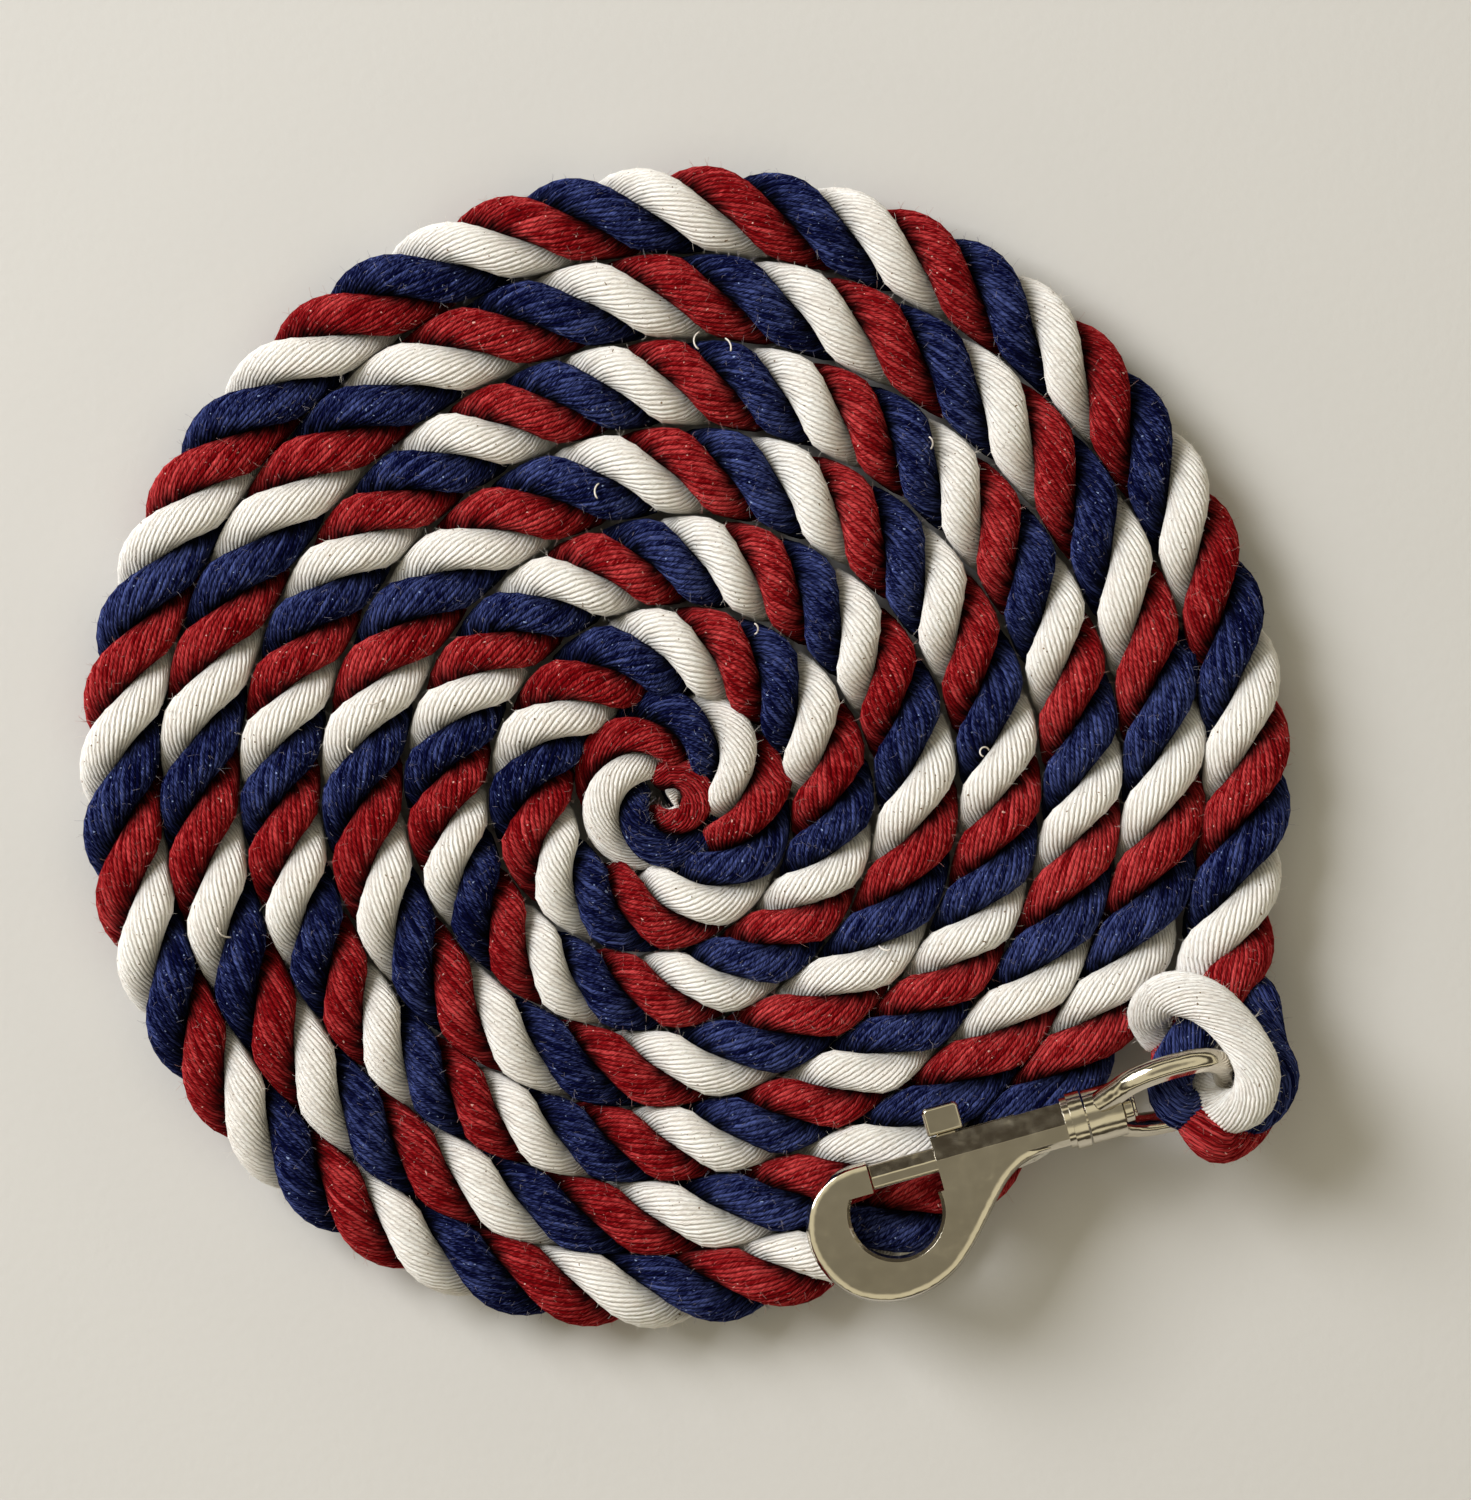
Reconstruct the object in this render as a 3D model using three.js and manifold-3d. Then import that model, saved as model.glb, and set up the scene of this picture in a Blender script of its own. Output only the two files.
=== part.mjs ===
// A lead rope laid in a flat spiral coil, with a swivel bolt snap spliced to its outer end.
// Millimetres, +Z up, the rope lying on z = 0. The origin is the middle of the spiral.
import * as THREE from 'three';
import { mergeVertices } from 'three/addons/utils/BufferGeometryUtils.js';
import Module from 'manifold-3d';

const wasm = await Module();
wasm.setup();

// ---- driving dimensions -------------------------------------------------------------------

const GAP = 0.3; // between solids that touch on the real object
const ROPE_RADIUS = 10.0; // plain tube that stands for the laid rope
const STRAND_RADIUS = 4.2; // plain tube that stands for one loosened strand

const COIL_RADIUS = 145.6; // outer edge of the outer turn, at +X
const COIL_PITCH = 19.6; // from one turn to the next
const COIL_SHIFT = [2.2, 2.6]; // the outer turns sit off the middle of the inner ones
const COIL_DIP = 5.8; // the turn under the snap is pulled in by this much
const COIL_DIP_ANGLE = THREE.MathUtils.degToRad(322);
const COIL_DIP_WIDTH = THREE.MathUtils.degToRad(35);
const COIL_STEP_ANGLE = THREE.MathUtils.degToRad(12); // where the outer turn leaves the coil
const COIL_HEIGHT = 20.4;
const COIL_ROUND = 5.0;

// The snap's own frame: x along its axis from hook to eye, y across it in the hook's plane.
const SNAP_ORIGIN = [99.3, -75.3, 26.7]; // rear face of the barrel's collar, on the axis
const SNAP_ANGLE = THREE.MathUtils.degToRad(15.65);
const PLATE_THICKNESS = 9.4; // hook and neck
const PLATE_BEVEL = 2.3;
const HOLE_CENTRE = [-47.8, -9.0]; // inside of the hook
const HOLE_RADIUS = 10.6;
const HOLE_CHAMFER = 0.8;
const NOSE_X = -51.6; // flat end of the hook's nose, which the bolt meets
const NOSE_UNDERSIDE_Y = -3.2;
const MOUTH_X = -35.8; // front face of the barrel
const COLLAR_X = -3.4; // front face of the barrel's collar
const COLLAR_RADIUS = 6.7;
const BORE_END_X = -5.0; // the bore stops at this wall
const BOLT_CLEARANCE = 0.1;
const BOLT_TAIL_X = -27.0;
const BOLT_TRAVEL = 14.0;
const STUD_X = -31.8; // middle of the thumb stud
const POST_HALF_WIDTH = 1.6;
const RIVET_RADIUS = 2.4;
const RIVET_CLEARANCE = 0.08;
const RIVET_HEAD_RADIUS = 3.7;
const RIVET_HEAD_X = [8.9, 11.9]; // head inside the eye
const RIVET_TAIL_X = [-7.6, -5.3]; // peened end inside the barrel
const RIVET_TAIL_RADIUS = 3.0;
const TAIL_POCKET_RADIUS = 3.2; // round room for the peened end
const SPRING_WIRE_RADIUS = 0.4;
const SPRING_RADIUS = 1.9;
const SPRING_TURNS = 5;

// The eye is a bent bar. Its plane is turned about the snap's axis by EYE_TILT.
const EYE_TILT = THREE.MathUtils.degToRad(58);
const EYE_BAR_RADIUS = 2.9;
const EYE_BAR_END_X = 33.3; // middle of the far bar, which the rope is spliced round
const EYE_HALF_WIDTH = 12.5;
const EYE_CORNER = 7.5;
const EYE_BLOCK_X = [0.3, 8.6];
const EYE_BLOCK_HALF_WIDTH = 6.4;

const RED = 0x9c1f2a;
const WHITE = 0xd9d4cc;
const BLUE = 0x1c3569;
const NICKEL = 0xc9c3b4;

// ---- materials and booleans ---------------------------------------------------------------

function cottonMaterial(color) {
  return new THREE.MeshStandardMaterial({ color, roughness: 0.95, metalness: 0 });
}

function nickelMaterial() {
  return new THREE.MeshStandardMaterial({ color: NICKEL, roughness: 0.2, metalness: 1 });
}

// Turns a closed three.js geometry into a solid that can be cut and joined.
function solid(geometry) {
  const bare = geometry.clone();
  bare.deleteAttribute('normal');
  bare.deleteAttribute('uv');
  const merged = mergeVertices(bare, 1e-4);
  return new wasm.Manifold(new wasm.Mesh({
    numProp: 3,
    vertProperties: new Float32Array(merged.attributes.position.array),
    triVerts: new Uint32Array(merged.index.array),
  }));
}

// Turns a solid back into a three.js geometry.
function geometryOf(body) {
  const mesh = body.getMesh();
  const geometry = new THREE.BufferGeometry();
  geometry.setAttribute('position', new THREE.BufferAttribute(mesh.vertProperties, 3));
  geometry.setIndex(new THREE.BufferAttribute(mesh.triVerts, 1));
  geometry.computeVertexNormals();
  return geometry;
}

function namedMesh(name, geometry, material) {
  const mesh = new THREE.Mesh(geometry, material);
  mesh.name = name;
  return mesh;
}

// A box given by its low and high corners.
function box(low, high) {
  const geometry = new THREE.BoxGeometry(high[0] - low[0], high[1] - low[1], high[2] - low[2]);
  geometry.translate((low[0] + high[0]) / 2, (low[1] + high[1]) / 2, (low[2] + high[2]) / 2);
  return solid(geometry);
}

// A round bar along x, from one x to another.
function barAlongX(radius, fromX, toX, sides = 32) {
  const geometry = new THREE.CylinderGeometry(radius, radius, toX - fromX, sides);
  geometry.rotateZ(Math.PI / 2);
  geometry.translate((fromX + toX) / 2, 0, 0);
  return solid(geometry);
}

// A prism along x whose section is a list of [y, z] corners.
function prismAlongX(section, fromX, toX) {
  const shape = new THREE.Shape(section.map(([y, z]) => new THREE.Vector2(y, z)));
  const geometry = new THREE.ExtrudeGeometry(shape, { depth: toX - fromX, bevelEnabled: false });
  // shape x becomes y, shape y becomes z, depth becomes x
  geometry.applyMatrix4(new THREE.Matrix4().set(0, 0, 1, fromX, 1, 0, 0, 0, 0, 1, 0, 0, 0, 0, 0, 1));
  return solid(geometry);
}

// A round tube with flat ends along a list of points.
function tube(points, radius, steps, sides = 10) {
  const circle = new THREE.Shape();
  for (let i = 0; i < sides; i += 1) {
    const angle = ((i + 0.5) / sides) * 2 * Math.PI;
    const corner = [radius * Math.cos(angle), radius * Math.sin(angle)];
    if (i === 0) circle.moveTo(...corner);
    else circle.lineTo(...corner);
  }
  circle.closePath();
  const path = new THREE.CatmullRomCurve3(points, false, 'centripetal');
  return new THREE.ExtrudeGeometry(circle, { steps, extrudePath: path, bevelEnabled: false });
}

// ---- the rope on the floor ----------------------------------------------------------------

// Distance from the middle to the outer edge of the turn, at an angle counted along the rope.
function turnEdge(angle) {
  const radius = COIL_RADIUS - (COIL_PITCH * angle) / (2 * Math.PI);
  const inward = radius / COIL_RADIUS;
  const shift = COIL_SHIFT[0] * Math.cos(angle) + COIL_SHIFT[1] * Math.sin(angle);
  const around = (angle - COIL_DIP_ANGLE) / COIL_DIP_WIDTH;
  return radius + inward * shift - COIL_DIP * Math.exp(-around * around);
}

function ropeCoil() {
  const corners = [];
  const steps = 54;
  for (let i = 0; i <= steps; i += 1) {
    const angle = COIL_STEP_ANGLE + (i / steps) * 2 * Math.PI;
    const radius = turnEdge(angle);
    corners.push(new THREE.Vector2(radius * Math.cos(angle), radius * Math.sin(angle)));
  }
  const geometry = new THREE.ExtrudeGeometry(new THREE.Shape(corners), {
    depth: COIL_HEIGHT - 2 * COIL_ROUND,
    bevelThickness: COIL_ROUND,
    bevelSize: COIL_ROUND,
    bevelOffset: -COIL_ROUND,
    bevelSegments: 3,
  });
  geometry.translate(0, 0, COIL_ROUND);
  return namedMesh('rope_coil', geometryOf(solid(geometry)), cottonMaterial(RED));
}

// The stretch between the coil and the splice, as [x, y, z] points.
const ROPE_HEIGHT = 10.3;
const ROPE_RUN = [
  [138.4, 8, ROPE_HEIGHT],
  [137.8, -8, ROPE_HEIGHT],
  [136.4, -22, ROPE_HEIGHT],
  [135.0, -34, 10.9],
  [134.8, -42, 13.2],
  [135.2, -49, 16.6],
];

function ropeRun() {
  const radius = (turnEdge(COIL_STEP_ANGLE) + turnEdge(COIL_STEP_ANGLE + 2 * Math.PI)) / 2;
  const outward = new THREE.Vector3(Math.cos(COIL_STEP_ANGLE), Math.sin(COIL_STEP_ANGLE), 0);
  const along = new THREE.Vector3(outward.y, -outward.x, 0);
  const start = outward.clone().multiplyScalar(radius).addScaledVector(along, GAP);
  start.z = ROPE_HEIGHT;
  const points = [
    start,
    start.clone().addScaledVector(along, 9),
    ...ROPE_RUN.map((point) => new THREE.Vector3(...point)),
  ];
  return namedMesh('rope_run', tube(points, ROPE_RADIUS, 9, 12), cottonMaterial(BLUE));
}

// ---- the splice ---------------------------------------------------------------------------

// A point of the splice: x along the snap's axis, width along the eye's far bar, and height
// out of the eye's plane, on the side that the snap swings up to.
function eyePoint(x, width, height) {
  const y = width * Math.cos(EYE_TILT) - height * Math.sin(EYE_TILT);
  const z = width * Math.sin(EYE_TILT) + height * Math.cos(EYE_TILT);
  return new THREE.Vector3(x, y, z)
    .applyAxisAngle(new THREE.Vector3(0, 0, 1), SNAP_ANGLE)
    .add(new THREE.Vector3(...SNAP_ORIGIN));
}

// Part of a strand that runs round the eye's far bar, between two angles in degrees.
function wrap(width, radius, fromAngle, toAngle) {
  const points = [];
  const steps = Math.round((toAngle - fromAngle) / 30);
  for (let i = 0; i <= steps; i += 1) {
    const angle = THREE.MathUtils.degToRad(fromAngle + ((toAngle - fromAngle) * i) / steps);
    const x = EYE_BAR_END_X + radius * Math.cos(angle);
    points.push(eyePoint(x, width, radius * Math.sin(angle)));
  }
  return points;
}

const STRANDS = [
  {
    name: 'white_splice_strand',
    color: WHITE,
    points: [
      new THREE.Vector3(118.6, -51.6, 15),
      new THREE.Vector3(118.2, -47.6, 22.5),
      new THREE.Vector3(125, -47.4, 29.5),
      new THREE.Vector3(133, -53, 33),
      ...wrap(4.6, 8.4, -25, 195),
    ],
  },
  {
    name: 'red_splice_strand',
    color: RED,
    points: [
      new THREE.Vector3(132.6, -54.4, 12.6),
      ...wrap(-4.6, 8.4, -10, 220),
    ],
  },
  {
    name: 'blue_splice_strand',
    color: BLUE,
    points: [
      new THREE.Vector3(142.6, -52.4, 18.6),
      ...wrap(0, 16.2, -5, 190),
    ],
  },
];

function spliceStrands() {
  return STRANDS.map(({ name, color, points }) => (
    namedMesh(name, tube(points, STRAND_RADIUS, 22, 10), cottonMaterial(color))
  ));
}

// ---- the snap -----------------------------------------------------------------------------

// Section of the barrel and of the bolt: flat front and back as far as the middle, then a
// broad bevel down to the edge that the thumb stud stands on.
function bevelledSection(halfWidth, halfThickness, corner) {
  const edge = halfThickness * 0.42;
  return [
    [-halfWidth, -halfThickness + corner],
    [-halfWidth + corner, -halfThickness],
    [0, -halfThickness],
    [halfWidth, -edge],
    [halfWidth, edge],
    [0, halfThickness],
    [-halfWidth + corner, halfThickness],
    [-halfWidth, halfThickness - corner],
  ];
}

const BOLT_HALF_WIDTH = 2.8;
const BARREL_HALF_WIDTH = 5.0;

function hookOutline() {
  const outline = new THREE.Shape();
  outline.moveTo(NOSE_X, 3.9);
  outline.splineThru([
    [-57, 3.7], [-61.6, 2.2], [-66.2, -1.5], [-68.9, -7.8], [-68.6, -14.8], [-65.6, -21.6],
    [-60.4, -26.4], [-53, -28.9], [-45.2, -28.5], [-38, -25.6], [-31.8, -20.4], [-26, -14],
    [-21.6, -9.3], [-17.2, -6.4], [-12, -5.1],
  ].map(([x, y]) => new THREE.Vector2(x, y)));
  outline.lineTo(-9, -5.0);
  outline.lineTo(-9, 3.9);
  outline.closePath();
  return outline;
}

function snapBody() {
  const half = PLATE_THICKNESS / 2;
  const plateGeometry = new THREE.ExtrudeGeometry(hookOutline(), {
    depth: PLATE_THICKNESS - 2 * PLATE_BEVEL,
    bevelThickness: PLATE_BEVEL,
    bevelSize: PLATE_BEVEL,
    bevelOffset: -PLATE_BEVEL,
    bevelSegments: 2,
    curveSegments: 3,
  });
  plateGeometry.translate(0, 0, -half + PLATE_BEVEL);
  const barrel = prismAlongX(bevelledSection(BARREL_HALF_WIDTH, half, 1.6), MOUTH_X, COLLAR_X + 0.5);
  const collar = barAlongX(COLLAR_RADIUS, COLLAR_X, -GAP / 2)
    .add(barAlongX(COLLAR_RADIUS - 0.7, COLLAR_X - 1.5, COLLAR_X));

  // everything above the barrel's bevel goes, so that the plate follows it
  const bevelWaste = prismAlongX(
    [[0, half], [BARREL_HALF_WIDTH, half * 0.42], [BARREL_HALF_WIDTH, -half * 0.42], [0, -half],
      [0, -2 * half], [4 * half, -2 * half], [4 * half, 2 * half], [0, 2 * half]],
    MOUTH_X - 1,
    0,
  );

  const holeGeometry = new THREE.CylinderGeometry(HOLE_RADIUS, HOLE_RADIUS, 3 * half, 40);
  const flareGeometry = new THREE.CylinderGeometry(
    HOLE_RADIUS + 2 * HOLE_CHAMFER, HOLE_RADIUS, 2 * HOLE_CHAMFER, 40,
  );
  flareGeometry.translate(0, half, 0);
  const flare = solid(flareGeometry);
  const hole = solid(holeGeometry)
    .add(flare)
    .add(flare.rotate([180, 0, 0]))
    .rotate([90, 0, 0])
    .translate([HOLE_CENTRE[0], HOLE_CENTRE[1], 0])
    .intersect(box([-80, -40, -20], [0, NOSE_UNDERSIDE_Y, 20]));
  const mouth = box([NOSE_X, -7, -20], [MOUTH_X, 20, 20]);

  const bore = prismAlongX(
    bevelledSection(BOLT_HALF_WIDTH + BOLT_CLEARANCE, BOLT_HALF_WIDTH + BOLT_CLEARANCE, 0.6),
    MOUTH_X - 1,
    BORE_END_X,
  );
  const tailPocket = barAlongX(TAIL_POCKET_RADIUS, RIVET_TAIL_X[0] - GAP, BORE_END_X);
  const slotHalfWidth = POST_HALF_WIDTH + BOLT_CLEARANCE;
  const slot = box(
    [MOUTH_X - 1, 0, -slotHalfWidth],
    [STUD_X + BOLT_TRAVEL + POST_HALF_WIDTH + 0.6, 10, slotHalfWidth],
  );
  const rivetHole = barAlongX(RIVET_RADIUS + RIVET_CLEARANCE, -10, 10);

  const body = solid(plateGeometry)
    .subtract(bevelWaste)
    .subtract(hole)
    .subtract(mouth)
    .add(barrel)
    .add(collar)
    .subtract(bore)
    .subtract(tailPocket)
    .subtract(slot)
    .subtract(rivetHole);
  return namedMesh('snap_body', geometryOf(body), nickelMaterial());
}

function snapBolt() {
  const section = bevelledSection(BOLT_HALF_WIDTH, BOLT_HALF_WIDTH, 0.6);
  const bolt = prismAlongX(section, NOSE_X + GAP, BOLT_TAIL_X);
  return namedMesh('snap_bolt', geometryOf(bolt), nickelMaterial());
}

// The stud's post stands on the bolt and rises through the slot to a flat thumb tab.
function thumbStud() {
  const foot = BOLT_HALF_WIDTH + 0.02;
  const post = box(
    [STUD_X - 2.2, foot, -POST_HALF_WIDTH],
    [STUD_X + 2.2, 6.2, POST_HALF_WIDTH],
  );
  const tabShape = new THREE.Shape();
  const corner = 1.4;
  const [left, right, low, high] = [STUD_X - 4.3, STUD_X + 4.3, 5.5, 12.0];
  tabShape.moveTo(left, low);
  tabShape.lineTo(right, low);
  tabShape.lineTo(right, high - corner);
  tabShape.absarc(right - corner, high - corner, corner, 0, Math.PI / 2);
  tabShape.lineTo(left + corner, high);
  tabShape.absarc(left + corner, high - corner, corner, Math.PI / 2, Math.PI);
  tabShape.closePath();
  const tabBevel = 0.7;
  const tabGeometry = new THREE.ExtrudeGeometry(tabShape, {
    depth: 5.2 - 2 * tabBevel,
    bevelThickness: tabBevel,
    bevelSize: tabBevel,
    bevelOffset: -tabBevel,
    bevelSegments: 1,
    curveSegments: 4,
  });
  tabGeometry.translate(0, 0, -2.6 + tabBevel);
  return namedMesh('thumb_stud', geometryOf(post.add(solid(tabGeometry))), nickelMaterial());
}

// A compression spring between the bolt's tail and the rivet's peened end.
function boltSpring() {
  const points = [];
  const perTurn = 10;
  const start = BOLT_TAIL_X + GAP + SPRING_WIRE_RADIUS;
  const end = RIVET_TAIL_X[0] - GAP - SPRING_WIRE_RADIUS;
  for (let i = 0; i <= SPRING_TURNS * perTurn; i += 1) {
    const share = i / (SPRING_TURNS * perTurn);
    const angle = share * SPRING_TURNS * 2 * Math.PI;
    points.push(new THREE.Vector3(
      start + (end - start) * share,
      SPRING_RADIUS * Math.cos(angle),
      SPRING_RADIUS * Math.sin(angle),
    ));
  }
  const geometry = tube(points, SPRING_WIRE_RADIUS, SPRING_TURNS * perTurn, 6);
  return namedMesh('bolt_spring', geometry, nickelMaterial());
}

function swivelRivet() {
  const rivet = barAlongX(RIVET_RADIUS, RIVET_TAIL_X[0], RIVET_HEAD_X[1] - 0.5)
    .add(barAlongX(RIVET_HEAD_RADIUS, RIVET_HEAD_X[0], RIVET_HEAD_X[1] - 0.8))
    .add(barAlongX(RIVET_HEAD_RADIUS - 0.8, RIVET_HEAD_X[0], RIVET_HEAD_X[1]))
    .add(barAlongX(RIVET_TAIL_RADIUS, RIVET_TAIL_X[0], RIVET_TAIL_X[1]));
  return namedMesh('swivel_rivet', geometryOf(rivet), nickelMaterial());
}

function swivelEye() {
  const side = EYE_HALF_WIDTH;
  const cornerX = EYE_BAR_END_X - EYE_CORNER;
  const corner = (degrees) => {
    const angle = THREE.MathUtils.degToRad(degrees);
    return [cornerX + EYE_CORNER * Math.cos(angle), side - EYE_CORNER + EYE_CORNER * Math.sin(angle)];
  };
  const half = [[4.2, 5.2], [7.4, 7.6], [12, 10.9], [18, side], corner(90), corner(60), corner(30), corner(0)];
  const points = [
    ...half,
    ...half.map(([x, y]) => [x, -y]).reverse(),
  ].map(([x, y]) => new THREE.Vector3(x, y, 0));
  const bar = solid(tube(points, EYE_BAR_RADIUS, 44, 12));
  const blockHalf = EYE_BLOCK_HALF_WIDTH;
  const block = barAlongX(blockHalf + 0.6, EYE_BLOCK_X[0], EYE_BLOCK_X[1], 8)
    .intersect(barAlongX(blockHalf, EYE_BLOCK_X[0], EYE_BLOCK_X[1], 32));
  const rivetHole = barAlongX(RIVET_RADIUS + RIVET_CLEARANCE, -20, 20);
  const headRoom = barAlongX(RIVET_HEAD_RADIUS + 0.5, EYE_BLOCK_X[1], RIVET_HEAD_X[1] + 3);
  const behindBlock = box([-10, -20, -20], [EYE_BLOCK_X[0], 20, 20]);
  const eye = bar
    .add(block)
    .subtract(rivetHole)
    .subtract(headRoom)
    .subtract(behindBlock);
  const mesh = namedMesh('swivel_eye', geometryOf(eye), nickelMaterial());
  mesh.rotation.x = EYE_TILT;
  return mesh;
}

// ---- assembly -----------------------------------------------------------------------------

const leadRope = new THREE.Group();
leadRope.add(ropeCoil());
leadRope.add(ropeRun());
leadRope.add(...spliceStrands());

const snap = new THREE.Group();
snap.position.set(...SNAP_ORIGIN);
snap.rotation.z = SNAP_ANGLE;
snap.add(snapBody(), snapBolt(), thumbStud(), boltSpring(), swivelRivet(), swivelEye());
leadRope.add(snap);

export default leadRope;
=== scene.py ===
"""A three-strand cotton lead rope with a swivel bolt snap, laid in a flat spiral.

Each strand is one continuous mesh of yarns, from its tucked end at the splice to its end in the
middle of the coil. Metres, +Z up, in the CAD model's frame. The rope's shape is worked out in
millimetres and turned into metres where its meshes are made.
"""

import math

import bpy
import numpy as np
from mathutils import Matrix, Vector


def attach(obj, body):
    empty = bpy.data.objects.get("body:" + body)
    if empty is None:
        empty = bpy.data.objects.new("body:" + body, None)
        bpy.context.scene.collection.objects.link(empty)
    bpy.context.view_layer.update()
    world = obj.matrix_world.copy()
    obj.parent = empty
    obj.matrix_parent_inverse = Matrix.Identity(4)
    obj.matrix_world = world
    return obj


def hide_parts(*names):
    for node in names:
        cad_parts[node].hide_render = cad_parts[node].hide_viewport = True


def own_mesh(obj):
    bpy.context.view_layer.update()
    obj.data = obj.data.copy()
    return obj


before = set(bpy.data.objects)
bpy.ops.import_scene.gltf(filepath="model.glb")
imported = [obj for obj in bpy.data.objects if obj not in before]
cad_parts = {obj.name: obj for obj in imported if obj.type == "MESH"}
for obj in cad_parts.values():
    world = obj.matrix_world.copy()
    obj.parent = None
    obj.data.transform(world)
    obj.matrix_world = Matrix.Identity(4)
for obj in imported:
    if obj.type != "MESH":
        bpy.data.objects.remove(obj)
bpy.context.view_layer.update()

MM = 0.001

# ---- camera -------------------------------------------------------------------------------

ROPE_HEIGHT = 11.0  # mm, the rope's middle line over the floor
VIEW_CENTRE = (18.8 * MM, 9.3 * MM)
VIEW_HEIGHT = 349.5 * MM  # what the frame's long side covers at the rope's middle line
CAMERA_HEIGHT = 1.3
SENSOR_WIDTH = 36.0

camera_data = bpy.data.cameras.new("camera")
camera_data.sensor_width = SENSOR_WIDTH
camera_data.lens = SENSOR_WIDTH * (CAMERA_HEIGHT - ROPE_HEIGHT * MM) / VIEW_HEIGHT
camera_data.clip_end = 20.0
camera = bpy.data.objects.new("camera", camera_data)
camera.location = (*VIEW_CENTRE, CAMERA_HEIGHT)
bpy.context.scene.collection.objects.link(camera)
bpy.context.scene.camera = camera

# ---- the rope's middle line, in millimetres -----------------------------------------------

RING_STEP = 3.05
FINE_STEP = 1.6  # for the last turns, which bend the most
FINE_LENGTH = 130.0
TRACE_STEP = 0.5  # between the points that the line is traced through

# The stretch between the splice and the coil, as x, y, z.
RUN = [
    (134.2, -51.0, 17.2),
    (133.2, -44.3, 13.6),
    (133.4, -35.0, 11.3),
    (134.4, -25.6, 11.0),
    (135.5, -16.3, 11.0),
    (136.8, -7.0, 11.0),
    (137.5, 2.3, 11.0),
    (136.6, 16.3, 11.0),
    (135.1, 25.6, 11.0),
    (133.0, 35.0, 11.0),
]

# The spiral's turns, by the outer edge of each.
SPIRAL_START = math.radians(20.0)
SPIRAL_END = math.radians(2160.0)
SPIRAL_STEP = math.radians(0.5)
JOIN_SKIP = 24  # steps between the three points of the spiral that the run is aimed at
EDGE_RADIUS = 143.4
PITCH = 17.7
PITCH_GAIN = 0.2  # each turn is narrower than the last by this much more
SHIFT = (1.7, 6.2)  # the outer turn sits off the middle by this much
SHIFT_FADE = (-0.1, -1.6)  # and each turn after it by this much less
OVAL = (0.4, 1.7)
OVAL_TURNS = 7.4  # the turn at which the oval has become round
FREE_HALF = 10.2  # half the width of the outer turn, which nothing presses from outside
BEFORE_COIL = -1.0  # the angle given to the run
NESTED = (math.radians(340), math.radians(385))  # where the next turn starts to lie outside it

# The last turn winds in to the rope's end, which is thinner for being pulled tight.
HEART = (2.8, -1.8)
HEART_TURN = math.radians(430.0)
HEART_RADIUS = 1.0
HEART_CLOSING = 0.75  # 1 would close in evenly, and less closes in later
HEART_SLIM = 0.68
HEART_SLIM_FROM = -0.3  # of the last turn, where it would start to get thinner
HEART_POINTS = 600


def turn_edge(angle):
    """Outer edge of the turn at an angle counted along the rope."""
    turns = angle / (2 * math.pi)
    cos, sin = np.cos(angle), np.sin(angle)
    oval = (1 - turns / OVAL_TURNS) * (OVAL[0] * np.cos(2 * angle) + OVAL[1] * np.sin(2 * angle))
    shift = (SHIFT[0] + SHIFT_FADE[0] * turns) * cos + (SHIFT[1] + SHIFT_FADE[1] * turns) * sin
    return EDGE_RADIUS - PITCH * turns - PITCH_GAIN * turns**2 + shift + oval


def smooth(x, low, high):
    """0 at low, 1 at high, and a smooth step between."""
    t = np.clip((x - low) / (high - low), 0, 1)
    return t * t * (3 - 2 * t)


def spline(points, step):
    """A smooth line through the points, sampled about every step."""
    p = np.array(points, float)
    p = np.vstack([2 * p[0] - p[1], p, 2 * p[-1] - p[-2]])
    out = []
    for i in range(1, len(p) - 2):
        a, b, c, d = p[i - 1 : i + 3]
        n = max(2, int(np.linalg.norm(c - b) / step) + 1)
        t = np.linspace(0, 1, n, endpoint=False)[:, None]
        out.append(0.5 * (2 * b + (c - a) * t + (2 * a - 5 * b + 4 * c - d) * t**2
                          + (3 * b - a - 3 * c + d) * t**3))
    return np.vstack([*out, p[-2:-1]])


def along(line):
    """How far along the line each of its points is."""
    return np.concatenate([[0], np.cumsum(np.linalg.norm(np.diff(line, axis=0), axis=1))])


def unit(v):
    return v / np.maximum(np.linalg.norm(v, axis=-1, keepdims=True), 1e-12)


def tangents(line):
    return unit(np.gradient(line, axis=0))


def level(radius, angle, middle=(0.0, 0.0)):
    """Points at the rope's height, at a radius and an angle round a middle."""
    return np.stack([middle[0] + radius * np.cos(angle), middle[1] + radius * np.sin(angle),
                     np.full(len(angle), ROPE_HEIGHT)], axis=1)


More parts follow.
